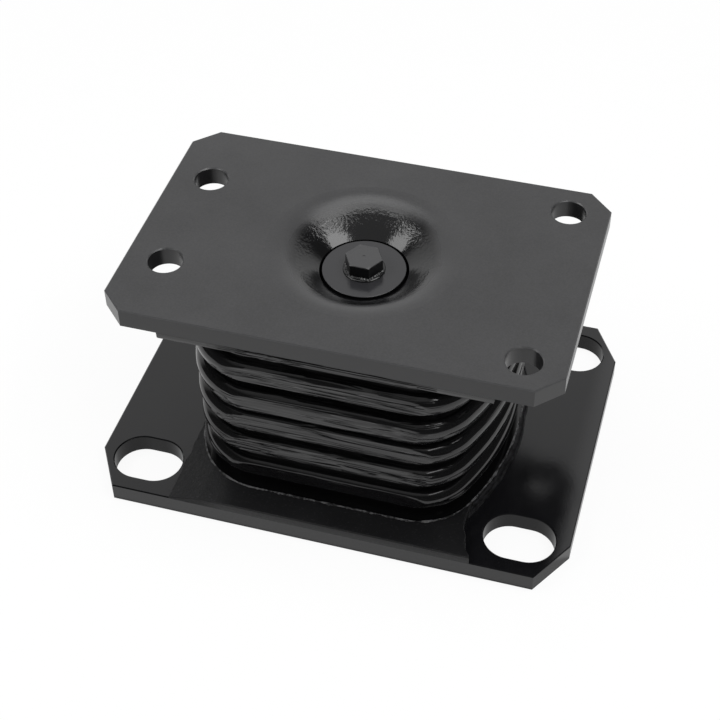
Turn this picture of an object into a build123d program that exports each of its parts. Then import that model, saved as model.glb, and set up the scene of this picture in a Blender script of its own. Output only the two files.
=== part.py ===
from build123d import *
import math
import os

os.makedirs("parts", exist_ok=True)

# Laminated rubber-metal spring isolator, in millimetres.
# Origin: centre of the base plate's underside. X along the long side, Z up.

# Overall
height = 171.0
plate_t = 15.0

# Base plate
base_len = 355.0
base_wid = 259.0
base_cut_x = 20.0
base_cut_y = 34.0
base_edge = 0.8
slot_len = 52.0
slot_wid = 40.0
slot_edge_x = 36.5
slot_edge_y = 32.0
slot_x = base_len / 2 - slot_edge_x
slot_y = base_wid / 2 - slot_edge_y

# Top plate
base_step_x = 35.0
base_step_y = 52.0
top_len = base_len - base_step_x
top_wid = base_wid - base_step_y
top_cut = 17.0
top_edge = 0.8
hole_r = 12.5
hole_edge_x = 29.5
hole_edge_left = 56.5
hole_edge_right = 25.5
hole_x = top_len / 2 - hole_edge_x
hole_y_left = top_wid / 2 - hole_edge_left
hole_y_right = top_wid / 2 - hole_edge_right
top_face_z = height
top_under_z = height - plate_t

# Pressed dish in the top plate
dish_lip_r = 70.0
dish_rim_r = 48.1
dish_rim_drop = 6.9
dish_depth = 31.5
dish_floor_top = height - dish_depth
dish_floor_t = 8.0
dish_clear = 2.0
dish_wall = 9.0
dish_root_r = 6.0
dish_edge_r = 2.5
dish_hole_r = 20.0

# Rubber body
rub_bot = plate_t
rub_top = top_under_z
layers = 6
leaf_t = 6.0
layer_t = (rub_top - rub_bot - (layers - 1) * leaf_t) / layers
pitch = layer_t + leaf_t
bore_r = 48.0
nose_in_x = 42.5
flat_proud = 1.0
flat_cut = 3.5
nose_x = top_len / 2 - nose_in_x
nose_flat_y = top_wid / 2 + flat_proud
nose_y = nose_flat_y + flat_cut
groove_gap = 7.5
nose_t = pitch - groove_gap
nose_land = 0.2
nose_round = (nose_t - nose_land) / 2
groove_depth = 12.0
root_clear = 0.3
end_bow_r = 195.0
corner_r = 45.0
foot_grow = 1.0
ridge_grow = 5.0
ridge_t = 2.5
skirt_t = 6.0
skirt_left = 4.5 - nose_x
skirt_ramp = 24.0
skirt_thin = 0.6
skirt_right = nose_x - 16.0
skirt_flare = nose_x - 6.0
skirt_bend = 4.0
skirt_bend_y = 14.0
skirt_turn_y = 30.0
top_skirt_t = 4.5
top_skirt_x = nose_x - 0.5
cut_gap = 2.0

# Interleaf plates
leaf_cover = 8.5

# Centre bolt group
limit_r = 30.0
limit_t = 8.0
pad_t = 6.0
limit_hole_r = 8.5
lock_r = 15.4
lock_t = 1.2
bolt_r = 8.0
bolt_lift = 9.7
bolt_point = 1.5
head_af = 24.0
head_h = 10.0
head_turn = -0.6
head_flat_r = 12.9
head_slope = 0.577
head_edge = 0.4
dimple_r = 1.2
dimple_t = 0.25
sleeve_r = 13.5
sleeve_in_r = 8.5
boss_r = 23.0
boss_h = 30.0
weld_leg = 5.0
thread_clear = 0.05
thread_run = 3.0

# Dish round the limit washer
dish_in_r = limit_r + dish_clear
dish_out_r = dish_in_r + dish_wall

# Heights that follow
pad_z = dish_floor_top
limit_z = pad_z + pad_t
lock_z = limit_z + limit_t
head_z = lock_z + lock_t
head_top = head_z + head_h
bolt_end = plate_t + bolt_lift
bolt_len = head_z - bolt_end
boss_top = plate_t + boss_h
cup_z = dish_floor_top - dish_floor_t
rim_z = top_face_z - dish_rim_drop
leaf_z = [rub_bot + (k + 1) * layer_t + k * leaf_t for k in range(layers - 1)]
rib_z = [z + leaf_t / 2 - nose_t / 2 for z in leaf_z]
foot_z = rub_bot + skirt_t
foot_gap = rib_z[0] - foot_z
groove_round = min(foot_gap, groove_gap) / 2 - root_clear
skirt_y = base_wid / 2
top_skirt_z = rub_top - top_skirt_t


def bowed_outline(sk, inset):
    """Draws the stack's plan in the open sketch: straight long sides, bowed ends."""
    half_x = nose_x - inset
    bow = end_bow_r - inset
    Rectangle(2 * half_x, 2 * (nose_y - inset))
    with Locations((half_x - bow, 0)):
        Circle(bow, mode=Mode.INTERSECT)
    with Locations((bow - half_x, 0)):
        Circle(bow, mode=Mode.INTERSECT)
    fillet(sk.vertices(), corner_r - inset)


def on_core(edge):
    """True for an edge that follows the foot of the grooves."""
    p = edge @ 0.5
    x = abs(p.X)
    y = abs(p.Y)
    ex = nose_x - end_bow_r
    cy = nose_y - corner_r
    cx = ex + math.sqrt((end_bow_r - corner_r) ** 2 - cy ** 2)
    depths = (nose_y - y, end_bow_r - math.hypot(x - ex, y), corner_r - math.hypot(x - cx, y - cy))
    return any(abs(d - groove_depth) < 0.05 for d in depths)


def level_edges(part, z):
    """Edges that lie flat at height z."""
    flat = [e for e in part.edges() if abs((e @ 0).Z - z) < 1e-3 and abs((e @ 1).Z - z) < 1e-3]
    return [e for e in flat if abs((e @ 0.5).Z - z) < 1e-3]


# Base plate with cut corners and four long slots
with BuildPart() as base_plate:
    with BuildSketch(Plane.XY):
        hx = base_len / 2
        hy = base_wid / 2
        Polygon(
            (-hx + base_cut_x, -hy), (hx - base_cut_x, -hy),
            (hx, -hy + base_cut_y), (hx, hy - base_cut_y),
            (hx - base_cut_x, hy), (-hx + base_cut_x, hy),
            (-hx, hy - base_cut_y), (-hx, -hy + base_cut_y),
            align=None,
        )
        with Locations((-slot_x, -slot_y), (slot_x, -slot_y), (-slot_x, slot_y), (slot_x, slot_y)):
            SlotOverall(slot_len, slot_wid, mode=Mode.SUBTRACT)
    extrude(amount=plate_t)
    chamfer(level_edges(base_plate, 0), base_edge)
    chamfer(level_edges(base_plate, plate_t), base_edge)
base_plate.part.label = "base_plate"

# Top plate: cut corners, four holes on an uneven pattern, deep pressed dish
with BuildPart() as top_plate:
    with BuildSketch(Plane.XY.offset(top_under_z)) as top_outline:
        Rectangle(top_len, top_wid)
        chamfer(top_outline.vertices(), top_cut)
        with Locations((-hole_x, -hole_y_left), (-hole_x, hole_y_left)):
            Circle(hole_r, mode=Mode.SUBTRACT)
        with Locations((hole_x, -hole_y_right), (hole_x, hole_y_right)):
            Circle(hole_r, mode=Mode.SUBTRACT)
    extrude(amount=plate_t)
    chamfer(level_edges(top_plate, top_under_z), top_edge)
    chamfer(level_edges(top_plate, top_face_z), top_edge)
    with BuildSketch(Plane.XZ):
        with BuildLine():
            Polyline((0, top_face_z - 1), (0, cup_z), (dish_out_r - dish_edge_r, cup_z))
            TangentArc((dish_out_r - dish_edge_r, cup_z), (dish_out_r, cup_z + dish_edge_r), tangent=(1, 0))
            Line((dish_out_r, cup_z + dish_edge_r), (dish_out_r, top_under_z - dish_root_r))
            TangentArc(
                (dish_out_r, top_under_z - dish_root_r), (dish_out_r + dish_root_r, top_under_z),
                tangent=(0, 1),
            )
            Polyline(
                (dish_out_r + dish_root_r, top_under_z), (dish_out_r + dish_root_r, top_face_z - 1),
                (0, top_face_z - 1),
            )
        make_face()
    revolve(axis=Axis.Z)
    with BuildSketch(Plane.XZ):
        with BuildLine():
            lip = TangentArc((dish_lip_r, top_face_z), (dish_rim_r, rim_z), tangent=(-1, 0))
            slope = lip % 1
            cone_end_z = rim_z - (dish_rim_r - dish_in_r) * slope.Y / slope.X
            Polyline((dish_rim_r, rim_z), (dish_in_r, cone_end_z), (dish_in_r, dish_floor_top + dish_edge_r))
            TangentArc(
                (dish_in_r, dish_floor_top + dish_edge_r), (dish_in_r - dish_edge_r, dish_floor_top),
                tangent=(0, -1),
            )
            Polyline(
                (dish_in_r - dish_edge_r, dish_floor_top), (0, dish_floor_top), (0, top_face_z + 1),
                (dish_lip_r, top_face_z + 1), (dish_lip_r, top_face_z),
            )
        make_face()
    revolve(axis=Axis.Z, mode=Mode.SUBTRACT)
    with BuildSketch(Plane.XY.offset(cup_z - 1)):
        Circle(dish_hole_r)
    extrude(amount=dish_floor_t + 2, mode=Mode.SUBTRACT)
top_plate.part.label = "top_plate"

# Rubber body: five round-nosed ribs over the plates, with flats on the long sides
with BuildPart() as rubber_body:
    for z in rib_z:
        with BuildSketch(Plane.XY.offset(z)) as rib_outline:
            bowed_outline(rib_outline, 0)
        extrude(amount=nose_t)
    fillet(rubber_body.edges().filter_by(Axis.Z, reverse=True), nose_round)
    with BuildSketch(Plane.XY.offset(rub_bot)) as core_outline:
        bowed_outline(core_outline, groove_depth)
    extrude(amount=rub_top - rub_bot)
    with BuildSketch(Plane.XY.offset(rub_bot)) as foot_outline:
        bowed_outline(foot_outline, -foot_grow)
    extrude(amount=skirt_t)
    with BuildSketch(Plane.XY.offset(top_skirt_z)):
        Rectangle(2 * top_skirt_x, top_wid)
    extrude(amount=top_skirt_t)
    roots = [e for z in rib_z for e in level_edges(rubber_body, z) + level_edges(rubber_body, z + nose_t)]
    roots = roots + level_edges(rubber_body, foot_z) + level_edges(rubber_body, top_skirt_z)
    fillet([e for e in roots if on_core(e)], groove_round)
    for side in (-1, 1):
        with BuildSketch(Plane.XY.offset(foot_z + cut_gap)):
            with Locations((0, side * (nose_flat_y + nose_y))):
                Rectangle(2 * nose_x, 2 * nose_y)
        extrude(amount=top_skirt_z - foot_z - 2 * cut_gap, mode=Mode.SUBTRACT)
    with BuildSketch(Plane.XY.offset(rub_bot)):
        Polygon(
            (skirt_left, -skirt_y), (skirt_flare, -skirt_y),
            (skirt_right + skirt_bend, skirt_bend_y - skirt_y),
            (skirt_right, skirt_turn_y - skirt_y), (skirt_right, skirt_y - skirt_turn_y),
            (skirt_right + skirt_bend, skirt_y - skirt_bend_y), (skirt_flare, skirt_y), (skirt_left, skirt_y),
            align=None,
        )
    extrude(amount=skirt_t)
    with BuildSketch(Plane.XZ):
        Polygon(
            (skirt_left - cut_gap, rub_bot + skirt_thin), (skirt_left - cut_gap, foot_z + cut_gap),
            (skirt_left + skirt_ramp, foot_z + cut_gap), (skirt_left + skirt_ramp, foot_z),
            (skirt_left, rub_bot + skirt_thin),
            align=None,
        )
    extrude(amount=base_wid, both=True, mode=Mode.SUBTRACT)
    with BuildSketch(Plane.XY.offset(rub_bot)) as ridge_outline:
        bowed_outline(ridge_outline, -ridge_grow)
        with Locations((nose_x, 0)):
            Rectangle(2 * nose_x, 3 * nose_y, mode=Mode.INTERSECT)
    extrude(amount=ridge_t)
    with BuildSketch(Plane.XY.offset(rub_bot)):
        Circle(bore_r)
    extrude(amount=rub_top - rub_bot, mode=Mode.SUBTRACT)
    for z in leaf_z:
        with BuildSketch(Plane.XY.offset(z)) as leaf_pocket:
            bowed_outline(leaf_pocket, leaf_cover)
        extrude(amount=leaf_t, mode=Mode.SUBTRACT)
rubber_body.part.label = "rubber_body"

# Interleaf plates, numbered from the bottom
leaves = []
for k, z in enumerate(leaf_z):
    with BuildPart() as leaf:
        with BuildSketch(Plane.XY.offset(z)) as leaf_outline:
            bowed_outline(leaf_outline, leaf_cover)
            Circle(bore_r, mode=Mode.SUBTRACT)
        extrude(amount=leaf_t)
    leaf.part.label = f"interleaf_plate_{k + 1}"
    leaves.append(leaf.part)

# Rebound pad bonded to the dish floor
with BuildPart() as rebound_pad:
    with BuildSketch(Plane.XY.offset(pad_z)):
        Circle(limit_r)
        Circle(dish_hole_r, mode=Mode.SUBTRACT)
    extrude(amount=pad_t)
    fillet(level_edges(rebound_pad, pad_z + pad_t), 1.2)
rebound_pad.part.label = "rebound_pad"

# Limit washer
with BuildPart() as limit_washer:
    with BuildSketch(Plane.XY.offset(limit_z)):
        Circle(limit_r)
        Circle(limit_hole_r, mode=Mode.SUBTRACT)
    extrude(amount=limit_t)
    fillet(level_edges(limit_washer, limit_z + limit_t), 0.5)
    fillet(level_edges(limit_washer, limit_z), 0.6)
limit_washer.part.label = "limit_washer"

# Lock washer
with BuildPart() as lock_washer:
    with BuildSketch(Plane.XY.offset(lock_z)):
        Circle(lock_r)
        Circle(limit_hole_r, mode=Mode.SUBTRACT)
    extrude(amount=lock_t)
    chamfer(level_edges(lock_washer, lock_z + lock_t), 0.3)
lock_washer.part.label = "lock_washer"

# Tie bolt
with BuildPart() as tie_bolt:
    with BuildSketch(Plane.XY.offset(head_z)):
        RegularPolygon(head_af / 2, 6, major_radius=False, rotation=head_turn)
    extrude(amount=head_h)
    with BuildSketch(Plane.XZ):
        Polygon(
            (0, head_z), (head_af, head_z), (head_af, head_top - (head_af - head_flat_r) * head_slope),
            (head_flat_r, head_top), (0, head_top),
            align=None,
        )
    revolve(axis=Axis.Z, mode=Mode.INTERSECT)
    chamfer(level_edges(tie_bolt, head_top), head_edge)
    with BuildSketch(Plane.XY.offset(bolt_end)):
        Circle(bolt_r)
    extrude(amount=bolt_len)
    chamfer(level_edges(tie_bolt, bolt_end), bolt_point)
    with BuildSketch(Plane.XY.offset(head_top)):
        Circle(dimple_r)
    extrude(amount=-dimple_t, mode=Mode.SUBTRACT)
tie_bolt.part.label = "tie_bolt"

# Spacer sleeve between the boss and the limit washer
with BuildPart() as spacer_sleeve:
    with BuildSketch(Plane.XY.offset(boss_top)):
        Circle(sleeve_r)
        Circle(sleeve_in_r, mode=Mode.SUBTRACT)
    extrude(amount=limit_z - boss_top)
spacer_sleeve.part.label = "spacer_sleeve"

# Threaded boss welded to the base plate
with BuildPart() as anchor_boss:
    with BuildSketch(Plane.XZ):
        Polygon(
            (0, plate_t), (boss_r + weld_leg, plate_t), (boss_r, plate_t + weld_leg),
            (boss_r, boss_top), (0, boss_top),
            align=None,
        )
    revolve(axis=Axis.Z)
    chamfer(level_edges(anchor_boss, boss_top), bolt_point)
    with BuildSketch(Plane.XY.offset(bolt_end - thread_run)):
        Circle(bolt_r + thread_clear)
    extrude(amount=boss_top - bolt_end + thread_run, mode=Mode.SUBTRACT)
anchor_boss.part.label = "anchor_boss"

parts = [
    base_plate.part, top_plate.part, rubber_body.part, rebound_pad.part, limit_washer.part,
    lock_washer.part, tie_bolt.part, spacer_sleeve.part, anchor_boss.part,
] + leaves
for part in parts:
    export_step(part, f"parts/{part.label}.step")
    print(part.label, len(part.solids()), round(part.volume), part.bounding_box())
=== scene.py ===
import logging
import math
from dataclasses import dataclass
from enum import Enum

import bmesh
import bpy
from bmesh.types import BMEdge, BMesh, BMVert
from bpy.types import Material, Node, NodeSocket as Socket, NodeTree as Tree, Object
from mathutils import Matrix, Vector, noise


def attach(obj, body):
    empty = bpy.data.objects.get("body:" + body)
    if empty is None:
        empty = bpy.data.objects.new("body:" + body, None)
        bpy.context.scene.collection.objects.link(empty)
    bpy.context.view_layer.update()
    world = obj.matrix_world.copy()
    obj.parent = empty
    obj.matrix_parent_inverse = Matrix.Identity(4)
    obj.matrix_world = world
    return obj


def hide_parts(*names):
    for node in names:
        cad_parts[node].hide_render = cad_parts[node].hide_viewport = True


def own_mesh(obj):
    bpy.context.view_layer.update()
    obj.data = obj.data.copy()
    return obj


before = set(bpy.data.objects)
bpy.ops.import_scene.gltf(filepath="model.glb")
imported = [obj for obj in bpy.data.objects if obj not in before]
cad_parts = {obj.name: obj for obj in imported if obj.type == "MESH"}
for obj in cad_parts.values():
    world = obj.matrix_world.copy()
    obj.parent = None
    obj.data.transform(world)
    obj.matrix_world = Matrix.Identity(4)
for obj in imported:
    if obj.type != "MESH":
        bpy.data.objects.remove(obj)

LOG = logging.getLogger("isolator")
MM = 0.001
Pair = tuple[float, float]
Point = tuple[float, float, float]
Quad = tuple[float, float, float, float]
# height, how often per unit of length, and seed of each layer of unevenness
Layers = tuple[Point, ...]
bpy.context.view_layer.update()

# corners stay sharp from this angle up, in degrees, and points this close become one, in metres
SHARP_ANGLE = 40.0
WELD = 1e-6
# brings a raw noise, mostly within 0.6, to about 1
RAG_GAIN = 1.6
# nearly all values of a soft noise lie in this span
NOISE_SPAN = (0.3, 0.7)
ENAMEL_IOR = 1.47
RUBBER_IOR = 1.5
WHITE = (1.0, 1.0, 1.0, 1.0)


class Body(Enum):
    """The body that the built pieces ride on."""

    BASE = "base"


class Ease(Enum):
    """How a remapped value runs between its two ends."""

    EVEN = "LINEAR"
    SMOOTH = "SMOOTHSTEP"


class Ribs(Enum):
    """Whether a lamp lights the ribs with the rest, lights them alone, or leaves them out."""

    WITH_THE_REST = ""
    ALONE = "INCLUDE"
    LEFT_OUT = "EXCLUDE"


def srgb(code: str) -> Quad:
    """Turns an sRGB hex colour into the linear values that a shader takes.

    Args:
        code: Six hex digits, with or without a leading #.

    Returns:
        Red, green, blue and an alpha of 1.
    """
    digits = code.lstrip("#")
    out = []
    for k in (0, 2, 4):
        c = int(digits[k:k + 2], 16) / 255.0
        out.append(c / 12.92 if c <= 0.04045 else ((c + 0.055) / 1.055) ** 2.4)
    return (out[0], out[1], out[2], 1.0)


def mm(low: float, high: float) -> Pair:
    """Turns a pair of millimetres into metres."""
    return low * MM, high * MM


def clamp(value: float) -> float:
    """Holds a value between 0 and 1."""
    return max(0.0, min(1.0, value))


def add_node(tree: Tree, kind: str, settings: dict | None = None, inputs: dict | None = None) -> Node:
    """Adds a node, sets its properties and fills or links its inputs.

    Args:
        tree: The node tree that gets the node.
        kind: Blender's type name of the node.
        settings: Property names and their values.
        inputs: Input names or numbers, each with a value or with the socket that feeds it.

    Returns:
        The new node.
    """
    node = tree.nodes.new(kind)
    for name, value in (settings or {}).items():
        setattr(node, name, value)
    for key, value in (inputs or {}).items():
        if isinstance(value, Socket):
            tree.links.new(value, node.inputs[key])
        else:
            node.inputs[key].default_value = value
    return node


def maths(tree: Tree, operation: str, *values: Socket | float) -> Socket:
    """Adds a math node over its values and gives its result."""
    return add_node(tree, "ShaderNodeMath", {"operation": operation}, dict(enumerate(values))).outputs[0]


def axis(tree: Tree, vector: Socket, name: str) -> Socket:
    """Gives the X, Y or Z part of a vector."""
    return add_node(tree, "ShaderNodeSeparateXYZ", inputs={0: vector}).outputs[name]


def object_place(tree: Tree) -> Socket:
    """Gives the place on the object, in its own coordinates."""
    return tree.nodes.new("ShaderNodeTexCoord").outputs["Object"]


def remap(tree: Tree, value: Socket, span: Pair = (0.0, 1.0), to: Pair = (0.0, 1.0),
          ease: Ease = Ease.SMOOTH) -> Socket:
    """Carries a value over from one span to another, held at both ends."""
    node = add_node(tree, "ShaderNodeMapRange", {"interpolation_type": ease.value}, {
        "Value": value, "From Min": span[0], "From Max": span[1], "To Min": to[0], "To Max": to[1]})
    return node.outputs["Result"]


def ramp(tree: Tree, fac: Socket, stops: list[Pair]) -> Socket:
    """Adds a grey colour ramp.

    Args:
        tree: The node tree that gets the ramp.
        fac: The value that the ramp reads.
        stops: Position and grey level of each stop, in order.

    Returns:
        The ramp's colour.
    """
    node = add_node(tree, "ShaderNodeValToRGB", inputs={"Fac": fac})
    line = node.color_ramp
    while len(line.elements) < len(stops):
        line.elements.new(0.5)
    for element, (place, level) in zip(line.elements, stops):
        element.position = place
        element.color = (level, level, level, 1.0)
    return node.outputs["Color"]


def band(tree: Tree, fac: Socket, low: float, high: float) -> Socket:
    """Adds a grey ramp that is black up to one value and white from another."""
    return ramp(tree, fac, [(low, 0.0), (high, 1.0)])


def blotch(tree: Tree, place: Socket, cell_mm: float, detail: float = 2.0, rough: float = 0.5,
           twist: float = 0.0) -> Socket:
    """Adds soft noise over a surface.

    Args:
        tree: The node tree that gets the texture.
        place: Where on the object, in metres.
        cell_mm: Size of its largest patches in millimetres.
        detail: How many times finer noise is laid over it.
        rough: How strong the finer noise is.
        twist: How much the patches are distorted.

    Returns:
        The noise, about 0.5 on average.
    """
    node = add_node(tree, "ShaderNodeTexNoise", inputs={
        "Vector": place, "Scale": 1 / (cell_mm * MM), "Detail": detail, "Roughness": rough, "Distortion": twist})
    return node.outputs["Fac"]


def fade(tree: Tree, fac: Socket | float, start: Socket | float, end: Socket | float) -> Socket:
    """Mixes two values by a factor."""
    return add_node(tree, "ShaderNodeMix", {"data_type": "FLOAT"}, {0: fac, 2: start, 3: end}).outputs[0]


def blend(tree: Tree, fac: Socket, start: Socket | str, end: Socket | str) -> Socket:
    """Mixes two colours by a factor, each given as a socket or a hex code."""
    first, second = (srgb(c) if isinstance(c, str) else c for c in (start, end))
    return add_node(tree, "ShaderNodeMix", {"data_type": "RGBA"}, {"Factor": fac, 6: first, 7: second}).outputs[2]


def bump(tree: Tree, height: Socket, distance_mm: float = 1.0, strength: float = 1.0) -> Socket:
    """Bends the surface's normal by a height, given in units of the distance."""
    return add_node(tree, "ShaderNodeBump", inputs={
        "Strength": strength, "Distance": distance_mm * MM, "Height": height}).outputs["Normal"]


def upward(tree: Tree) -> Socket:
    """Gives the upward part of the surface's direction: 1 on level faces, 0 on upright ones."""
    return axis(tree, tree.nodes.new("ShaderNodeNewGeometry").outputs["Normal"], "Z")


def facing_up(tree: Tree) -> Socket:
    """Adds a mask that is 1 on faces that look up and 0 on upright ones."""
    return remap(tree, upward(tree), (0.35, 0.95))


def blank(name: str) -> tuple[Material, Tree, Node]:
    """Makes an empty node material with its output node.

    Args:
        name: The material's name.

    Returns:
        The material, its tree and its output node.
    """
    mat = bpy.data.materials.new(name)
    mat.use_nodes = True
    tree = mat.node_tree
    tree.nodes.clear()
    return mat, tree, tree.nodes.new("ShaderNodeOutputMaterial")


def skin(tree: Tree, out: Node, colour: Socket, rough: Socket | float, normal: Socket, **rest: float) -> None:
    """Adds the surface shader and links it to the material's output."""
    node = add_node(tree, "ShaderNodeBsdfPrincipled", inputs={
        "Base Color": colour, "Roughness": rough, "Normal": normal, **rest})
    tree.links.new(node.outputs[0], out.inputs["Surface"])


@dataclass(frozen=True)
class Enamel:
    """Black stoving enamel sprayed on steel: even colour, faint orange peel, small dust nibs, painted light on
    upward faces where set.
    """

    name: str
    low: str
    high: str
    rough_low: float
    rough_high: float
    # orange peel: its strength, and how far apart and how deep the dimples are in millimetres
    peel: float = 0.12
    peel_mm: float = 2.5
    peel_deep: float = 0.2
    cloud_mm: float = 38.0
    # dust nibs: the cell that holds one in millimetres, a nib's radius in cells, and its height in peel depths
    nib_mm: float = 9.0
    nib_r: float = 0.045
    nib_high: float = 0.6
    # painted light: faces that look up are coloured lighter than the sides, as overhead lamps leave them
    painted_top_light: str = ""
    # where along X that painted light begins, and how wide it fades in, in millimetres
    painted_top_light_x: float = -1000.0
    painted_top_light_fade: float = 16.0

    def build(self) -> Material:
        """Builds the enamel as a node material."""
        mat, tree, out = blank(self.name)
        place = object_place(tree)
        cloud = blotch(tree, place, self.cloud_mm, detail=4.0, rough=0.6)
        nib = add_node(tree, "ShaderNodeTexVoronoi", {"feature": "F1"}, {
            "Vector": place, "Scale": 1 / (self.nib_mm * MM)})
        nibs = ramp(tree, nib.outputs["Distance"], [(0.0, 1.0), (self.nib_r, 0.0)])
        height = maths(tree, "MULTIPLY_ADD", nibs, self.nib_high, blotch(tree, place, self.peel_mm))
        colour = blend(tree, band(tree, cloud, 0.35, 0.65), self.low, self.high)
        # painted light: upward faces in the zone along X are blended towards the lighter colour
        if self.painted_top_light:
            zone_mask = remap(tree, axis(tree, place, "X"), mm(self.painted_top_light_x, self.painted_top_light_x + self.painted_top_light_fade))
            colour = blend(tree, maths(tree, "MULTIPLY", facing_up(tree), zone_mask), colour, self.painted_top_light)
        rough = remap(tree, cloud, NOISE_SPAN, (self.rough_low, self.rough_high), Ease.EVEN)
        skin(tree, out, colour, rough, bump(tree, height, self.peel_deep, self.peel), IOR=ENAMEL_IOR)
        return mat


@dataclass(frozen=True)
class DishedEnamel:
    """The top plate's enamel: satin on the flat, run together into a wet gloss on the dish wall.

    Radii are millimetres from the bolt's axis.
    """

    name: str = "satin_black_enamel_top"
    flat_low: str = "242425"
    flat_high: str = "363637"
    # painted light: upright faces take this colour and faces that look up take the flat colours
    side: str = "272728"
    # painted highlight on the bevelled edges of the plate and its holes
    edge: str = "444445"
    wall: str = "0e0e0f"
    rough_flat: float = 0.30
    rough_wall: float = 0.10
    cloud_mm: float = 55.0
    # where the gloss ends, how wide it fades out, and how far and how often its edge wanders
    gloss_r: float = 43.0
    gloss_blend: float = 10.0
    wander: float = 8.0
    wander_mm: float = 24.0
    # below this height all of the dish is gloss
    deck_z: float = 155.5
    # the plate's outer edges and holes lie past this radius
    edges_r: Pair = (80.0, 90.0)
    # orange peel of the thick wet coat: spacing and height in millimetres, weak at the foot, gone past the lip
    peel_mm: float = 2.2
    peel: float = 0.30
    peel_foot: float = 0.25
    foot_r: Pair = (36.0, 45.0)
    lip_r: Pair = (47.0, 54.0)
    # the pressed wall eases over by this many millimetres towards the rim
    ease: float = 1.1
    ease_r: Pair = (36.0, 54.0)
    # fine grain of the spray on the flat: spacing and height in millimetres, and its share of the colour
    grain_mm: float = 1.2
    grain_high: float = 0.02
    grain_share: float = 0.62

    def build(self) -> Material:
        """Builds the two-part enamel, split by the distance from the bolt's axis."""
        mat, tree, out = blank(self.name)
        place = object_place(tree)
        flat = add_node(tree, "ShaderNodeVectorMath", {"operation": "MULTIPLY"}, {0: place, 1: (1.0, 1.0, 0.0)})
        radius = add_node(tree, "ShaderNodeVectorMath", {"operation": "LENGTH"}, {
            0: flat.outputs[0]}).outputs["Value"]
        stray = blotch(tree, place, self.wander_mm, detail=3.0)
        edge = maths(tree, "MULTIPLY_ADD", stray, -self.wander * MM, radius)
        lip = remap(tree, edge, mm(self.gloss_r, self.gloss_r + self.gloss_blend))
        deck = maths(tree, "GREATER_THAN", axis(tree, place, "Z"), self.deck_z * MM)
        zone_mask = maths(tree, "MULTIPLY", lip, deck)
        grain = blotch(tree, place, self.grain_mm, detail=3.0)
        dust = band(tree, blotch(tree, place, self.cloud_mm, detail=5.0, rough=0.62), 0.34, 0.66)
        spray = fade(tree, self.grain_share, dust, band(tree, grain, 0.25, 0.75))
        # painted light: the upward mask puts the flat colours on top and the side colour on upright faces
        matt_with_painted_light = blend(tree, facing_up(tree), self.side, blend(tree, spray, self.flat_low, self.flat_high))
        # painted highlight: the bevelled edges of the plate and its holes are coloured lighter
        bevel_highlight_mask = ramp(tree, upward(tree), [(0.45, 0.0), (0.60, 1.0), (0.82, 1.0), (0.92, 0.0)])
        rim = maths(tree, "MULTIPLY", bevel_highlight_mask, remap(tree, radius, mm(*self.edges_r), ease=Ease.EVEN))
        colour = blend(tree, zone_mask, self.wall, blend(tree, rim, matt_with_painted_light, self.edge))
        rough = remap(tree, zone_mask, to=(self.rough_wall, self.rough_flat), ease=Ease.EVEN)
        near = remap(tree, radius, mm(*self.foot_r), (self.peel_foot, 1.0))
        away = remap(tree, radius, mm(*self.lip_r), (self.peel, 0.0))
        dimple = blotch(tree, place, self.peel_mm, rough=0.6)
        dimples = maths(tree, "MULTIPLY", dimple, maths(tree, "MULTIPLY", near, away))
        bow = remap(tree, radius, mm(*self.ease_r), (0.0, -self.ease))
        height = maths(tree, "MULTIPLY_ADD", grain, self.grain_high, maths(tree, "ADD", dimples, bow))
        skin(tree, out, colour, rough, bump(tree, height), IOR=ENAMEL_IOR)
        return mat


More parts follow.
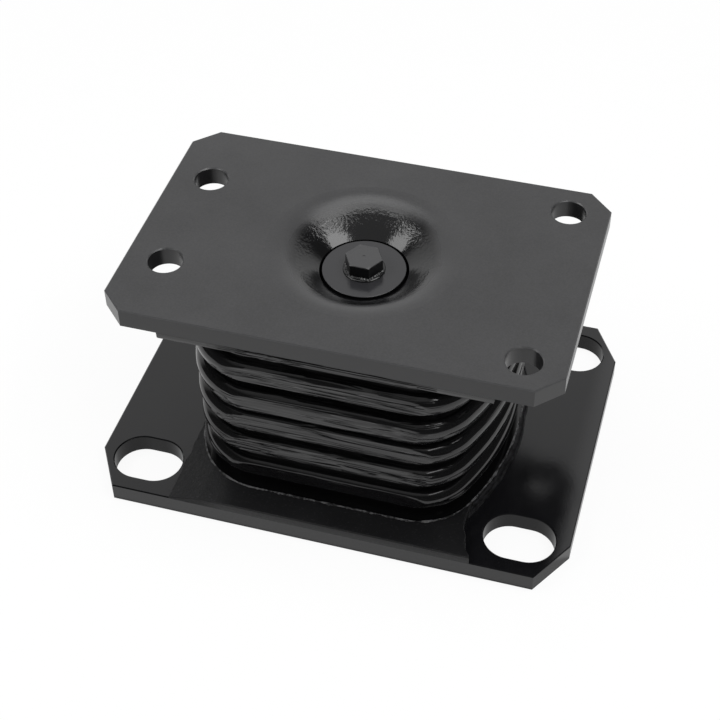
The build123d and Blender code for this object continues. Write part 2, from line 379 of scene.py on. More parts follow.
@dataclass(frozen=True)
class MouldedRubber:
    """Vulcanised black natural rubber under a wet gloss coat, with flow wrinkles along the mould's flats.

    Heights and places are in millimetres.
    """

    name: str
    low: str = "0e0e0f"
    high: str = "161617"
    rough_low: float = 0.05
    rough_high: float = 0.09
    # the flow is drawn out level: its noise is pressed this much in height, and turned off the noise's grid
    press: float = 22.0
    turn: Point = (0.5, 0.7, 0.4)
    # soft flow waves: height, and length of their longest ones
    wave: float = 1.05
    wave_mm: float = 110.0
    # narrow wrinkles: depth, length, half width in noise levels, and the length of their unbroken runs
    wrinkle: float = 0.45
    wrinkle_mm: float = 120.0
    wrinkle_half: float = 0.07
    run_mm: float = 48.0
    # fine pits
    pit: float = 0.012
    pit_mm: float = 2.2
    # the round corners were polished in the mould: where along X the waves end, and the share that is left
    corner_x: Pair = (64.0, 86.0)
    corner_left: float = 0.08
    # the lowest rib, next to the cool base plate, filled the mould without flow marks
    low_rib_z: Pair = (44.0, 50.0)
    low_rib_left: float = 0.12
    # the left end is rough: how rough from 0 to 1, where along X, its grit's height, and how much duller it is
    rough_side: float = 0.0
    rough_x: Pair = (-92.0, -62.0)
    grit: float = 0.75
    duller: float = 0.34
    # chalky specks of mould dust: the share that shows through, their colour and size
    speck: float = 0.0
    chalk: str = "3e3e3f"
    chalk_mm: float = 1.6
    ior: float = RUBBER_IOR

    def build(self) -> Material:
        """Builds the rubber as a node material, with wrinkles that run level along the ribs."""
        mat, tree, out = blank(self.name)
        place = object_place(tree)
        across = axis(tree, place, "X")
        pull = add_node(tree, "ShaderNodeMapping", inputs={
            "Vector": place, "Rotation": self.turn, "Scale": (1.0, 1.0, self.press)}).outputs[0]
        flow = blotch(tree, pull, self.wave_mm, twist=0.6)
        # the wrinkles follow the lines where a noise crosses its middle
        crease = maths(tree, "SUBTRACT", blotch(tree, pull, self.wrinkle_mm, detail=1.5, twist=0.8), 0.5)
        line = ramp(tree, maths(tree, "ABSOLUTE", crease), [(0.0, 1.0), (self.wrinkle_half, 0.0)])
        kept = band(tree, blotch(tree, pull, self.run_mm, detail=1.0), 0.30, 0.50)
        cut = maths(tree, "MULTIPLY", maths(tree, "MULTIPLY", line, kept), -self.wrinkle)
        wavy = maths(tree, "MULTIPLY_ADD", flow, self.wave, cut)
        calm = remap(tree, maths(tree, "ABSOLUTE", across), mm(*self.corner_x), (1.0, self.corner_left))
        low_rib = remap(tree, axis(tree, place, "Z"), mm(*self.low_rib_z), (self.low_rib_left, 1.0))
        level = maths(tree, "MULTIPLY", wavy, maths(tree, "MULTIPLY", calm, low_rib))
        worn = remap(tree, across, mm(*self.rough_x), (self.rough_side, 0.0))
        pits = blotch(tree, place, self.pit_mm, detail=4.0, rough=0.65)
        height = maths(tree, "MULTIPLY_ADD", pits, maths(tree, "MULTIPLY_ADD", worn, self.grit, self.pit), level)
        mask = band(tree, flow, 0.36, 0.64)
        gloss = remap(tree, mask, to=(self.rough_low, self.rough_high), ease=Ease.EVEN)
        rough = maths(tree, "MULTIPLY_ADD", worn, self.duller, gloss)
        specks = band(tree, blotch(tree, place, self.chalk_mm, rough=0.7), 0.60, 0.72)
        share = maths(tree, "MULTIPLY", specks, self.speck)
        colour = blend(tree, share, blend(tree, mask, self.low, self.high), self.chalk)
        skin(tree, out, colour, rough, bump(tree, height), IOR=self.ior)
        return mat


@dataclass(frozen=True)
class DryFlashWithPaintedGlints:
    """Thin rubber flash, torn when the mould opened: a grey edge that comes and goes along its length, its lighter
    patches partly painted glints.
    """

    name: str = "torn_rubber_flash"
    low: str = "161617"
    high: str = "5c5c5d"
    # length of the torn bits, and their height, in millimetres
    tear_mm: float = 5.0
    tear_high: float = 0.4
    rough: float = 0.38

    def build(self) -> Material:
        """Builds the flash as a node material."""
        mat, tree, out = blank(self.name)
        tear_and_glint = blotch(tree, object_place(tree), self.tear_mm, detail=3.0, rough=0.7)
        # painted highlight: the lighter patches are partly grey rubber, partly painted glints on the torn edge
        colour = blend(tree, band(tree, tear_and_glint, 0.44, 0.58), self.low, self.high)
        skin(tree, out, colour, self.rough, bump(tree, tear_and_glint, self.tear_high, 0.6), IOR=RUBBER_IOR)
        return mat


@dataclass(frozen=True)
class MilledSteel:
    """Plain mild steel with a thin oil film: fine directional scratches and a few dull clouds."""

    name: str
    low: str = "8a8b8d"
    high: str = "a4a5a6"
    rough: float = 0.34
    # how much smoother and rougher the clouds are
    sheen: Pair = (-0.08, 0.12)
    cloud_mm: float = 22.0
    # tool marks: spacing and depth in millimetres, drawn out along X
    mark_mm: float = 0.8
    mark_deep: float = 0.05
    draw: float = 0.08

    def build(self) -> Material:
        """Builds the steel as a node material."""
        mat, tree, out = blank(self.name)
        place = object_place(tree)
        pull = add_node(tree, "ShaderNodeMapping", inputs={"Vector": place, "Scale": (self.draw, 1.0, 1.0)})
        marks = blotch(tree, pull.outputs[0], self.mark_mm, detail=3.0)
        cloud = blotch(tree, place, self.cloud_mm, detail=4.0)
        rough = remap(tree, cloud, NOISE_SPAN, (self.rough + self.sheen[0], self.rough + self.sheen[1]), Ease.EVEN)
        skin(tree, out, blend(tree, cloud, self.low, self.high), rough, bump(tree, marks, self.mark_deep, 0.2),
             Metallic=1.0)
        return mat


def finish_mesh(bm: BMesh, name: str, mat: Material) -> Object:
    """Turns a bmesh into a linked object at the origin, with outward faces and marked corners.

    Args:
        bm: The finished shape, in metres. It is freed here.
        name: The piece's name.
        mat: The material of the whole piece.

    Returns:
        The new object.
    """
    bmesh.ops.remove_doubles(bm, verts=bm.verts, dist=WELD)
    bmesh.ops.recalc_face_normals(bm, faces=bm.faces)
    for face in bm.faces:
        face.smooth = True
    mesh = bpy.data.meshes.new(name)
    bm.to_mesh(mesh)
    bm.free()
    mesh.set_sharp_from_angle(angle=math.radians(SHARP_ANGLE))
    obj = bpy.data.objects.new(name, mesh)
    bpy.context.scene.collection.objects.link(obj)
    mesh.materials.append(mat)
    LOG.info("%s: %d faces", name, len(mesh.polygons))
    return obj


def lift(bm: BMesh, verts: list[BMVert], edges: list[BMEdge]) -> tuple[list[BMVert], list[BMEdge]]:
    """Extrudes a ring of edges and gives the new ring in the same order.

    Args:
        bm: The mesh being built.
        verts: The ring's vertices, in order.
        edges: The ring's edges.

    Returns:
        The new ring's vertices, in the old ring's order, and its edges.
    """
    out = bmesh.ops.extrude_edge_only(bm, edges=edges)["geom"]
    fresh = {g for g in out if isinstance(g, BMVert)}
    ring = [g for g in out if isinstance(g, BMEdge) and g.verts[0] in fresh and g.verts[1] in fresh]
    follow = [next(e.other_vert(v) for e in v.link_edges if e.other_vert(v) in fresh) for v in verts]
    return follow, ring


def ring_shell(rings: list[list[Point]]) -> BMesh:
    """Extrudes a ring through every further ring and closes the last one onto the first.

    Args:
        rings: Rings of points in millimetres, all with the same count and order.

    Returns:
        The closed shell.
    """
    bm = bmesh.new()
    bmesh.ops.create_circle(bm, cap_ends=False, segments=len(rings[0]), radius=1.0)
    verts, edges = list(bm.verts), list(bm.edges)
    for number, ring in enumerate(rings):
        if number:
            verts, edges = lift(bm, verts, edges)
        for vert, point in zip(verts, ring):
            vert.co = Vector(point) * MM
    bmesh.ops.bridge_loops(bm, edges=[e for e in bm.edges if e.is_boundary])
    return bm


def rag(x: float, y: float, z: float) -> float:
    """Smooth unevenness between about -1 and 1 at a place."""
    return noise.noise(Vector((x, y, z))) * RAG_GAIN


def lumps(x: float, y: float, layers: Layers, start: float = 0.0) -> float:
    """Unevenness in layers at a place, on top of a start."""
    return sum((high * rag(x * often, y * often, seed) for high, often, seed in layers), start)


def bore_ring(outline: list[Pair], radius: float, z: float) -> list[Point]:
    """A round ring with one point inside each point of an outline."""
    return [(x * radius / math.hypot(x, y), y * radius / math.hypot(x, y), z) for x, y in outline]


@dataclass
class StackPlan:
    """The stack's plan outline: straight long sides, round corners and bowed ends, in millimetres."""

    half_x: float = 117.5
    half_y: float = 108.0
    bow_r: float = 195.0
    right_r: float = 45.0
    left_r: float = 53.0
    # the base plate's top face, and the bore through the rubber
    floor_z: float = 15.0
    bore_r: float = 48.0
    straight_steps: int = 48
    corner_steps: int = 24
    bow_steps: int = 22

    def quarter(self, corner_r: float) -> list[Quad]:
        """Points of one quadrant from the X axis to the Y axis, each with its outward normal.

        Args:
            corner_r: Radius of the corner between the bowed end and the straight side.

        Returns:
            Place and normal of each point, both positive.
        """
        bow_x = self.half_x - self.bow_r
        cy = self.half_y - corner_r
        cx = bow_x + math.sqrt((self.bow_r - corner_r) ** 2 - cy ** 2)
        turn = math.atan2(cy, cx - bow_x)
        out = []
        for x, y, r, start, end, steps in (
                (bow_x, 0.0, self.bow_r, 0.0, turn, self.bow_steps),
                (cx, cy, corner_r, turn, math.pi / 2, self.corner_steps)):
            for k in range(steps):
                a = start + (end - start) * k / steps
                out.append((x + r * math.cos(a), y + r * math.sin(a), math.cos(a), math.sin(a)))
        for k in range(self.straight_steps + 1):
            out.append((cx * (1 - k / self.straight_steps), self.half_y, 0.0, 1.0))
        return out

    def loop(self) -> list[Quad]:
        """Points of the whole outline, anticlockwise, each with its outward normal."""
        right, left = self.quarter(self.right_r), self.quarter(self.left_r)
        half = right + [(-x, y, -u, v) for x, y, u, v in reversed(left[:-1])]
        return half + [(x, -y, u, -v) for x, y, u, v in reversed(half[1:-1])]

    def ring(self, inset: float) -> list[Pair]:
        """The outline drawn in by a distance."""
        return [(x - u * inset, y - v * inset) for x, y, u, v in self.loop()]


@dataclass(frozen=True)
class Rib:
    """One rib of the moulding, in millimetres."""

    mid: float
    # how far the nose stands out past the plan, and the flat past the common flat
    grow: float
    proud: float
    # how far the rib's lower corner reaches below its round nose, and how much further on the flats
    drop: float
    sag: float


@dataclass
class RubberStack:
    """The moulded rubber: five round-nosed ribs, concave grooves, flats on the long sides."""

    plan: StackPlan
    top: float = 156.0
    nose_r: float = 8.5
    groove: float = 12.0
    flat_y: float = 104.5
    # a half width that presses nothing back
    no_flat: float = 200.0
    foot_z: float = 21.0
    foot_out: float = -1.0
    head_z: float = 151.5
    head_in: float = 4.0
    # how far out along X a rib's sag starts to fade, and where it is gone
    sag_x: Pair = (72.0, 96.0)
    # unevenness of the flats and of the rings' heights
    flat_wave: float = 0.14
    ring_wave: float = 0.12
    ribs: tuple[Rib, ...] = (
        Rib(36.5, -1.0, 0.0, 0.0, -1.6), Rib(61.0, 0.0, -0.3, 0.0, -0.8), Rib(85.5, 0.5, 0.0, 0.0, 0.0),
        Rib(110.0, 0.5, 2.5, 2.4, 3.2), Rib(134.5, 0.0, 0.8, 0.8, 0.3))
    nose_steps: int = 26
    groove_steps: int = 10

    def nose(self, rib: Rib, a: float) -> Pair:
        """Height and inset of a point on a rib's nose, at an angle up from level."""
        low = max(0.0, -math.sin(a))
        z = rib.mid + self.nose_r * math.sin(a) - rib.drop * low
        return z, self.nose_r * (1 - math.cos(a)) - rib.grow * math.cos(a) ** 0.5

    def wall_ring(self, z: float, inset: float, limit: float, sag: float = 0.0) -> list[Point]:
        """One ring of the wall, with the flats pressed back to a limit.

        Args:
            z: Height of the ring.
            inset: How far the ring lies inside the plan.
            limit: The half width that the flats are pressed back to.
            sag: How much lower the ring runs along the flats than round the ends.

        Returns:
            The ring's points.
        """
        start, gone = self.sag_x
        ring = []
        for x, y in self.plan.ring(inset):
            flat = limit + self.flat_wave * rag(x * 0.03, z * 0.11, 4.0)
            if abs(y) > flat:
                y = math.copysign(flat, y)
            along = clamp((gone - abs(x)) / (gone - start))
            ring.append((x, y, z - sag * along + self.ring_wave * rag(x * 0.05, y * 0.05, z * 0.09)))
        return ring

    def rings(self) -> list[list[Point]]:
        """Every ring of the wall, from the bottom edge up, over the top and down the bore."""
        bottom, half_pi = self.plan.floor_z, math.pi / 2
        rings = [self.wall_ring(z, self.foot_out, self.no_flat) for z in (bottom, self.foot_z)]
        start = (self.foot_z, 0.0)
        for rib in self.ribs:
            rings += self.scoop(start, self.nose(rib, -half_pi))
            for k in range(1, self.nose_steps):
                a = -half_pi + math.pi * k / self.nose_steps
                z, inset = self.nose(rib, a)
                sag = rib.sag * max(0.0, -math.sin(a)) ** 1.5
                rings.append(self.wall_ring(z, inset, self.flat_y + rib.proud, sag))
            start = self.nose(rib, half_pi)
        rings += self.scoop(start, (self.head_z, self.head_in))
        rings.append(self.wall_ring(self.top, self.head_in, self.no_flat))
        return rings + [bore_ring(self.plan.ring(0.0), self.plan.bore_r, z) for z in (self.top, bottom)]

    def scoop(self, start: Pair, end: Pair) -> list[list[Point]]:
        """The rings of one concave groove, from its lower end up.

        Args:
            start: Height and inset of its lower end.
            end: Height and inset of its upper end.

        Returns:
            The rings.
        """
        (low, low_in), (high, high_in) = start, end
        out = []
        for k in range(self.groove_steps + 1):
            f = k / self.groove_steps
            a = math.pi * f
            base = low_in + (high_in - low_in) * f
            z = (low + high) / 2 - (high - low) / 2 * math.cos(a)
            out.append(self.wall_ring(z, base + (self.groove - base) * math.sin(a) ** 0.7, self.no_flat))
        return out

    def build(self, mat: Material) -> Object:
        """Builds the wall with its bore as one closed shell."""
        return finish_mesh(ring_shell(self.rings()), "rubber_wall", mat)


@dataclass
class Skirts:
    """The rubber that ran out over both plates: a thick skirt below, a thin one above, and raised edges.

    All sizes are in millimetres.
    """

    plan: StackPlan
    # the low skirt: its thickness, and the left ramp from its thin end
    low_t: float = 6.0
    left: float = -113.0
    ramp: float = 24.0
    thin: float = 0.6
    thinnest: float = 0.25
    # the ramp's lumps, where along X they fade out, and how much the whole top face swells and sinks
    ramp_lumps: Layers = ((0.22, 0.33, 3.0), (0.16, 0.8, 6.0))
    lumps_x: Pair = (-92.0, -78.0)
    swell: float = 0.10
    sink: float = 0.2
    # its right edge: straight at first, then bending out and flaring at the plate's long sides
    right: float = 101.5
    bend: float = 4.0
    flare: float = 111.5
    half_y: float = 129.46
    # spacing of the points along it, and steps of the other edges
    point_gap: float = 1.3
    long_steps: int = 90
    left_steps: int = 120
    # its rolled upper edge: shares of the way up, and how far back each lies
    roll: tuple[Pair, ...] = ((0.0, 0.0), (0.55, 0.12), (0.85, 0.4), (1.0, 1.0), (1.0, 1.2))
    deck_steps: int = 56
    high_z: float = 151.5
    high_t: float = 4.5
    high_x: float = 117.0
    high_y: float = 103.4
    high_steps: int = 64
    # its edge, from the hidden inside to the underside: how far back, how far up, how lumpy
    high_edge: tuple[Point, ...] = (
        (1.2, 4.0, 0.0), (-0.12, 5.25, 0.0), (0.0, 1.0, 0.15), (0.3, 0.3, 0.15), (1.0, 0.0, 0.15))
    # how far the low one laps down over the base plate's bevelled edge
    lap: float = 0.75
    # the raised edge on the base plate: its distance from the stack, its height, its lumps and its crown
    ridge_out: float = 5.0
    ridge_t: float = 2.5
    ridge_lumps: Layers = ((0.8, 0.14, 1.0), (0.5, 0.45, 5.0))
    crown: Layers = ((0.35, 0.4, 9.0),)
    # where along X it leaves the wall, and how far in it dives before that
    dive_x: Pair = (-6.0, 14.0)
    dive: float = 14.0
    flash_rags: Layers = ((0.6, 0.11, 6.0), (0.7, 0.5, 2.0))

    def low_outline(self) -> list[Pair]:
        """The lower skirt's plan, anticlockwise, with the wavy side that spilt over the plate."""
        side = [(self.flare, -self.half_y), (self.flare - 3.4, -self.half_y + 7), (self.right + self.bend, -115.5),
                (self.right + 1.2, -107), (self.right, -99.5), (self.right, -90), (self.right, 0)]
        right = []
        for (x0, y0), (x1, y1) in zip(side, side[1:]):
            steps = max(2, int(math.hypot(x1 - x0, y1 - y0) / self.point_gap))
            for k in range(steps):
                f = k / steps
                x, y = x0 + (x1 - x0) * f, y0 + (y1 - y0) * f
                edge = min(1.0, (self.half_y - abs(y)) / 3)
                right.append((x + edge * (0.7 * rag(x * 0.1, y * 0.16, 2.0) + 0.3 * rag(x * 0.5, y * 0.5, 8.0)), y))
        back = [(x, -y) for x, y in reversed(right)]
        steps = self.long_steps
        far = [(self.flare + (self.left - self.flare) * k / steps, self.half_y) for k in range(1, steps)]
        steps = self.left_steps
        left = [(self.left + rag(7.0, y * 0.09, 5.0), y)
                for y in (self.half_y - 2 * self.half_y * k / steps for k in range(steps + 1))]
        front = [(x, -y) for x, y in reversed(far)]
        return right + back + far + left + front

    def low_top(self, x: float, y: float) -> float:
        """Height of the lower skirt's top face at a place, with the lumps of its rough left ramp."""
        f = clamp((x - self.left) / self.ramp)
        start, gone = self.lumps_x
        rough = clamp((gone - x) / (gone - start)) * lumps(x, y, self.ramp_lumps)
        swell = self.swell * rag(x * 0.04, y * 0.06, 7.0)
        thick = self.thin + (self.low_t - self.thin) * f + rough + swell - self.sink
        return self.plan.floor_z + max(self.thinnest, thick)

    def build_low(self, mat: Material) -> Object:
        """Builds the lower skirt with rounded edges, its left side sloping down to the plate."""
        plan, floor = self.low_outline(), self.plan.floor_z
        rings = [[(x, y, floor - self.lap) for x, y in plan]]
        for share, back in self.roll:
            ring = []
            for x, y in plan:
                grow = 1 - back / math.hypot(x, y)
                top = self.low_top(x, y)
                # the roll takes the upper millimetre, or most of the height where the rubber is thin
                body = (top - floor - 1.0) if top - floor > 1.2 else (top - floor) * 0.2
                ring.append((x * grow, y * grow, floor + body + (top - floor - body) * share))
            rings.append(ring)
        inner = bore_ring(plan, self.plan.bore_r, floor)
        inset = self.roll[-1][1]
        for k in range(1, self.deck_steps + 1):
            f = k / self.deck_steps
            ring = []
            for (x, y), (u, v, _) in zip(plan, inner):
                grow = 1 - inset / math.hypot(x, y)
                px, py = x * grow + (u - x * grow) * f, y * grow + (v - y * grow) * f
                ring.append((px, py, self.low_top(px, py)))
            rings.append(ring)
        return finish_mesh(ring_shell(rings + [inner]), "rubber_skirt_low", mat)

    def build_high(self, mat: Material) -> Object:
        """Builds the thin upper skirt, a bored plate of rubber with softened lower edges."""
        half_x, half_y, steps = self.high_x, self.high_y, self.high_steps
        corners = [(half_x, -half_y), (half_x, half_y), (-half_x, half_y), (-half_x, -half_y)]
        plan = [(x0 + (x1 - x0) * k / steps, y0 + (y1 - y0) * k / steps)
                for (x0, y0), (x1, y1) in zip(corners, corners[1:] + corners[:1]) for k in range(steps)]
        rings = []
        for back, up, lump in self.high_edge:
            rings.append([(x * (1 - back / half_x), y * (1 - back / half_y),
                           self.high_z + up + lump * rag(x * 0.06, y * 0.06, 2.0)) for x, y in plan])
        rings += [bore_ring(plan, self.plan.bore_r, z) for z in (self.high_z, self.high_z + self.high_t)]
        return finish_mesh(ring_shell(rings), "rubber_skirt_high", mat)

    def build_ridge(self, mat: Material) -> Object:
        """Builds the lumpy raised edge that follows the stack's right end over the base plate."""
        section = ((4.0, 0.0), (-0.4, 0.0), (-0.2, 0.6), (0.5, 1.0), (1.2, 0.8), (2.2, 0.7), (4.0, 0.7))
        plan = self.plan.loop()
        start, gone = self.dive_x
        rings = []
        for back, share in section:
            ring = []
            for x, y, u, v in plan:
                # on the stack's left half the edge dives in under the wall
                reach = self.ridge_out - self.dive * clamp((gone - x) / (gone - start))
                out = reach - back + lumps(x, y, self.ridge_lumps) * (1.0 if back < 2 else 0.4)
                crown = lumps(x, y, self.crown) if 0.0 < share else 0.0
                ring.append((x + u * out, y + v * out, self.plan.floor_z + self.ridge_t * share + crown))
            rings.append(ring)
        return finish_mesh(ring_shell(rings), "rubber_ridge", mat)

    def build_flash(self, mat: Material) -> Object:
        """Builds the thin ragged flash line that the mould left round the foot of the stack."""
        section = ((0.6, 20.6), (-0.3, 20.7), (-0.6, 21.2), (-0.2, 21.6), (0.6, 21.6))
        rings = []
        for back, z in section:
            ring = []
            for x, y, u, v in self.plan.loop():
                ragged = lumps(x, y, self.flash_rags)
                out = 1.0 - back + (ragged if back < 0 else 0.0)
                ring.append((x + u * out, y + v * out, z + (0.5 * ragged if z > 21 else 0.0)))
            rings.append(ring)
        return finish_mesh(ring_shell(rings), "rubber_flash", mat)


@dataclass
class BoltGroup:
    """What the spray left round the bolt: a lock washer with a rim rounded by paint, and a bead round the head.

    All sizes are in millimetres and degrees.
    """

    hole_r: float = 8.6
    rim_r: float = 15.2
    flat_r: float = 13.6
    rim_steps: int = 8
    # the rim's lower corner: how far in and how far up it is rounded
    tuck: float = 0.2
    floor_z: float = 153.5
    top_z: float = 154.7
    head_af: float = 24.0
    head_turn: float = -0.6
    bead_out: float = 1.3
    bead_up: float = 0.7
    # how the paint's runs vary round the head, in shares of the bead, per radius
    runs: Layers = ((0.5, 3.0, 1.0), (0.4, 9.0, 4.0))
    steps: int = 240

    def circle(self, radius: float, z: float) -> list[Point]:
        """A round ring of points."""
        turns = (2 * math.pi * k / self.steps for k in range(self.steps))
        return [(radius * math.cos(a), radius * math.sin(a), z) for a in turns]

    def build_washer(self, mat: Material) -> Object:
        """Builds the lock washer, its rim rolled over from the flat to the edge."""
        rings = [self.circle(self.hole_r, self.floor_z), self.circle(self.rim_r - self.tuck, self.floor_z)]
        for k in range(self.rim_steps + 1):
            a = math.pi / 2 * k / self.rim_steps
            out = self.flat_r + (self.rim_r - self.flat_r) * math.cos(a)
            up = self.tuck + (self.top_z - self.floor_z - self.tuck) * math.sin(a)
            rings.append(self.circle(out, self.floor_z + up))
        rings.append(self.circle(self.hole_r, self.top_z))
        return finish_mesh(ring_shell(rings), "lock_washer_rim", mat)

    def build_bead(self, mat: Material) -> Object:
        """Builds the ragged bead of paint that ran down the head and set round its foot."""
        section = ((-0.4, 0.0), (1.0, 0.0), (0.92, 0.3), (0.7, 0.5), (0.3, 0.68), (0.1, 1.0), (-0.4, 1.0))
        rings = []
        for share_out, share_up in section:
            ring = []
            for k in range(self.steps):
                a = 2 * math.pi * k / self.steps
                side = (math.degrees(a) - self.head_turn) % 60 - 30
                foot = self.head_af / 2 / math.cos(math.radians(side))
                x, y = math.cos(a), math.sin(a)
                run = lumps(x, y, self.runs, 1.0)
                reach = foot + share_out * self.bead_out * (run if share_out > 0 else 1.0)
                ring.append((x * reach, y * reach, self.top_z + self.bead_up * share_up * run))
            rings.append(ring)
        return finish_mesh(ring_shell(rings), "bolt_paint_bead", mat)


def bearing(azimuth: float, elevation: float) -> Vector:
    """The direction at degrees round the object, from the front to the right, and degrees above the floor."""
    az, el = math.radians(azimuth), math.radians(elevation)
    return Vector((math.sin(az) * math.cos(el), -math.cos(az) * math.cos(el), math.sin(el)))


@dataclass(frozen=True)
class SoftBox:
    """One soft box that faces the object."""

    name: str
    # degrees round the object and above the floor
    azimuth: float
    elevation: float
    # width and height of its face in metres
    size: Pair
    # how bright its face is, where 1 is white
    radiance: float
    ribs: Ribs = Ribs.WITH_THE_REST


@dataclass
class Studio:
    """Plain pale floor, soft lamps and the camera, set as the photograph was taken. Lengths are in metres."""

    azimuth: float = 16.787
    elevation: float = 45.02
    roll: float = 1.028
    distance: float = 1.2127
    across: float = 0.0049
    down: float = 0.04365
    focal_px: float = 1559.9
    frame_px: float = 720.0
    sensor_mm: float = 36.0
    clip: Pair = (0.05, 30.0)
    # the boxes aim at this height over the floor, from this distance
    aim_z: float = 0.12
    reach: float = 1.6
    # two high boxes beside the camera and one overhead mirror in the dish. The two are kept off the ribs, as by
    # cards, and the ribs' right corners mirror one narrow strip
    boxes: tuple[SoftBox, ...] = (
        SoftBox("softbox_left", -70.0, 49.0, (1.05, 0.46), 5.2, Ribs.LEFT_OUT),
        SoftBox("softbox_right", 76.0, 58.5, (1.4, 0.44), 6.0, Ribs.LEFT_OUT),
        SoftBox("strip_right", 76.0, 60.0, (1.3, 0.10), 4.0, Ribs.ALONE),
        SoftBox("softbox_back", 180.0, 77.0, (1.4, 0.7), 3.0))
    # how bright the room and its ceiling are, as gloss mirrors them, and the even fill on everything
    room: float = 0.08
    ceiling: float = 0.45
    fill: float = 0.35
    # the white sweep's direction, and the edges of the sweep and the ceiling in that direction and upwards
    sweep_way: Point = (-0.35, 0.94, 0.0)
    sweep_edge: Pair = (0.35, 0.6)
    ceiling_edge: Pair = (0.70, 0.92)
    floor_half: float = 6.0
    # the floor's share of even light, where gloss sees its paper end, and how dark it is under the base plate
    floor_glow: float = 0.92
    paper_y: Pair = (-0.85, -0.5)
    shade: float = 0.5
    shade_edge: Pair = (1.0, 1.025)
    base_half: Pair = (0.1775, 0.1295)

    def camera(self) -> None:
        """Places the camera by its bearing, its distance and where the object's origin falls in the picture."""
        roll = math.radians(self.roll)
        back = bearing(self.azimuth, self.elevation)
        ahead = -back
        right = ahead.cross(Vector((0, 0, 1))).normalized()
        below = ahead.cross(right)
        right_r = right * math.cos(roll) + below * math.sin(roll)
        below_r = below * math.cos(roll) - right * math.sin(roll)
        place = -ahead * self.distance - right_r * self.across - below_r * self.down
        data = bpy.data.cameras.new("camera")
        data.sensor_width = self.sensor_mm
        data.lens = self.focal_px * data.sensor_width / self.frame_px
        data.clip_start, data.clip_end = self.clip
        cam = bpy.data.objects.new("camera", data)
        turn = Matrix((right_r, -below_r, back)).transposed().to_4x4()
        cam.matrix_world = Matrix.Translation(place) @ turn
        bpy.context.scene.collection.objects.link(cam)
        bpy.context.scene.camera = cam

    def lamp(self, box: SoftBox) -> None:
        """Adds a soft box, with its link to the ribs.

        Args:
            box: What to add. The ribs' wall has to be there already.
        """
        way = bearing(box.azimuth, box.elevation)
        data = bpy.data.lights.new(box.name, "AREA")
        data.shape = "RECTANGLE"
        data.size, data.size_y = box.size
        data.energy = box.radiance * math.pi * box.size[0] * box.size[1]
        lamp = bpy.data.objects.new(box.name, data)
        lamp.location = Vector((0, 0, self.aim_z)) + way * self.reach
        lamp.rotation_euler = way.to_track_quat("Z", "Y").to_euler()
        bpy.context.scene.collection.objects.link(lamp)
        if box.ribs is not Ribs.WITH_THE_REST:
            lit = bpy.data.collections.new(box.name + "_on_ribs")
            lamp.light_linking.receiver_collection = lit
            lit.objects.link(bpy.data.objects["rubber_wall"])
            lit.collection_objects[0].light_linking.link_state = box.ribs.value

    def world(self) -> None:
        """Makes the surroundings white to the eye. Gloss mirrors a white sweep behind and a dim room in front."""
        world = bpy.data.worlds.new("white_sweep_room")
        bpy.context.scene.world = world
        world.use_nodes = True
        tree = world.node_tree
        tree.nodes.clear()
        ray = tree.nodes.new("ShaderNodeLightPath").outputs
        way = tree.nodes.new("ShaderNodeTexCoord").outputs["Generated"]
        side = add_node(tree, "ShaderNodeVectorMath", {"operation": "DOT_PRODUCT"}, {0: way, 1: self.sweep_way})
        sweep = remap(tree, side.outputs["Value"], self.sweep_edge)
        wall = remap(tree, sweep, to=(self.room, 1.0), ease=Ease.EVEN)
        high = remap(tree, axis(tree, way, "Z"), self.ceiling_edge)
        shown = maths(tree, "MAXIMUM", ray["Is Camera Ray"], ray["Is Transmission Ray"])
        plain = remap(tree, shown, to=(self.fill, 1.0), ease=Ease.EVEN)
        level = fade(tree, ray["Is Glossy Ray"], plain, fade(tree, high, wall, self.ceiling))
        light = add_node(tree, "ShaderNodeBackground", inputs={"Color": WHITE, "Strength": level})
        out = tree.nodes.new("ShaderNodeOutputWorld")
        tree.links.new(light.outputs[0], out.inputs["Surface"])

    def floor(self) -> None:
        """Lays a white floor that keeps a faint shadow of the object."""
        bm = bmesh.new()
        bmesh.ops.create_grid(bm, x_segments=1, y_segments=1, size=self.floor_half)
        mat, tree, out = blank("white_paper_sweep")
        ray = tree.nodes.new("ShaderNodeLightPath").outputs
        grain = add_node(tree, "ShaderNodeTexNoise", inputs={"Scale": 400.0, "Detail": 2.0})
        paper = add_node(tree, "ShaderNodeBsdfDiffuse", inputs={
            "Color": blend(tree, grain.outputs["Fac"], "f4f4f4", "fbfbfb")})
        seen = maths(tree, "MAXIMUM", ray["Is Camera Ray"], ray["Is Glossy Ray"])
        share = maths(tree, "MULTIPLY", seen, self.floor_glow)
        place = object_place(tree)
        x, y = (axis(tree, place, name) for name in "XY")
        # gloss sees the paper end in front of the object
        table = remap(tree, y, self.paper_y, (self.room, 1.0))
        # and the shade under the base plate, which its slots and cut corners mirror
        along, over = (maths(tree, "DIVIDE", maths(tree, "ABSOLUTE", at), half)
                       for at, half in zip((x, y), self.base_half))
        shade = remap(tree, maths(tree, "MAXIMUM", along, over), self.shade_edge, (self.shade, 1.0))
        level = fade(tree, ray["Is Glossy Ray"], 1.0, maths(tree, "MULTIPLY", table, shade))
        glow = add_node(tree, "ShaderNodeEmission", inputs={"Color": WHITE, "Strength": level})
        mix = add_node(tree, "ShaderNodeMixShader", inputs={0: share, 1: paper.outputs[0], 2: glow.outputs[0]})
        tree.links.new(mix.outputs[0], out.inputs["Surface"])
        obj = finish_mesh(bm, "floor", mat)

    def build(self) -> None:
        """Builds the camera, the lamps, the world and the floor."""
        self.camera()
        for box in self.boxes:
            self.lamp(box)
        self.world()
        self.floor()
        bpy.context.scene.view_settings.view_transform = "Standard"


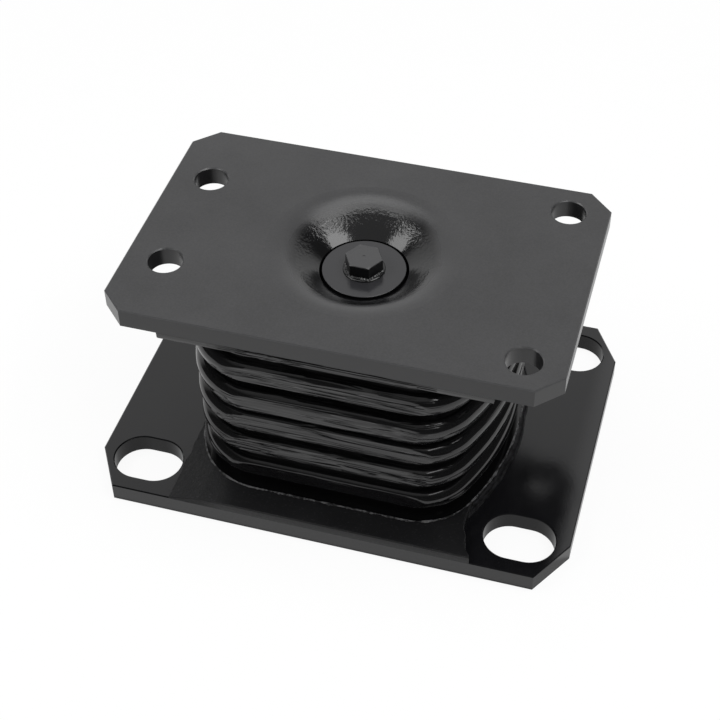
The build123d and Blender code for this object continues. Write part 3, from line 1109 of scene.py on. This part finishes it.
@dataclass
class Plates:
    """The two painted plates, the bolt group in the dish and the steel inside the stack."""

    leaf_count: int = 5

    def dress(self) -> None:
        """Gives every carried-over CAD node its finish."""
        # painted light: the base, bolt and washer get lighter upward faces; on the base only along its right edge
        base = Enamel("gloss_black_enamel_base", "0b0b0d", "111113", 0.10, 0.18, painted_top_light="2c2c2d", painted_top_light_x=160.0)
        bolt = Enamel("satin_black_enamel_bolt", "0b0b0c", "101011", 0.24, 0.34, peel=0.2, painted_top_light="39393a")
        washer = Enamel("satin_black_enamel_washer", "0d0d0e", "121213", 0.16, 0.24, peel=0.2, painted_top_light="28282a")
        leaf = MilledSteel("rolled_mild_steel", low="77787a", high="8f9092", rough=0.42)
        pad = MouldedRubber("moulded_pad_rubber", wave=0.0, wrinkle=0.0, pit=0.03, rough_low=0.3, rough_high=0.4)
        finishes = {
            "base_plate": base.build(),
            "top_plate": DishedEnamel().build(),
            "tie_bolt": bolt.build(),
            "rebound_pad": pad.build(),
            "spacer_sleeve": MilledSteel("turned_mild_steel").build(),
            "limit_washer": washer.build(),
        }
        finishes["lock_washer"] = finishes["limit_washer"]
        finishes["anchor_boss"] = finishes["spacer_sleeve"]
        leaf_mat = leaf.build()
        for number in range(1, self.leaf_count + 1):
            finishes[f"interleaf_plate_{number}"] = leaf_mat
        for name, mat in finishes.items():
            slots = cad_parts[name].data.materials
            slots.clear()
            slots.append(mat)
            LOG.info("%s: %s", name, mat.name)


def rubber_pieces() -> list[Object]:
    """Builds every piece of the one rubber moulding.

    Returns:
        The wall, the skirts, the ridge and the flash.
    """
    plan = StackPlan()
    wall = MouldedRubber("moulded_rubber_wall").build()
    bare = MouldedRubber("moulded_rubber_skirt", low="121213", high="1a1a1b", rough_low=0.26, rough_high=0.32,
                         wave=0.0, wrinkle=0.0, pit=0.07, rough_side=1.0, speck=0.6, ior=1.34).build()
    torn = DryFlashWithPaintedGlints().build()
    # the ridge's lighter patches are partly grey rubber, partly painted glints
    ridge_grey_and_glints = DryFlashWithPaintedGlints("rubber_ridge_painted_glints", "0c0c0d", "28282a", 3.0).build()
    skirts = Skirts(plan)
    return [
        RubberStack(plan).build(wall), skirts.build_low(bare), skirts.build_high(wall),
        skirts.build_ridge(ridge_grey_and_glints), skirts.build_flash(torn),
    ]


def main() -> None:
    """Dresses the CAD nodes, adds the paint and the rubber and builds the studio."""
    logging.basicConfig(level=logging.INFO, format="%(name)s: %(message)s")
    Plates().dress()
    wet = Enamel("wet_black_enamel_bead", "0c0c0d", "121213", 0.05, 0.09, peel=0.5, peel_mm=1.6).build()
    group = BoltGroup()
    for piece in (group.build_washer(wet), group.build_bead(wet)):
        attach(piece, Body.BASE.value)
    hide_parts("lock_washer")
    for piece in rubber_pieces():
        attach(piece, Body.BASE.value)
        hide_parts("rubber_body")
        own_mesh(piece)
    # the lamps are linked to the ribs, so the studio comes last
    Studio().build()


if __name__ == "__main__":
    main()
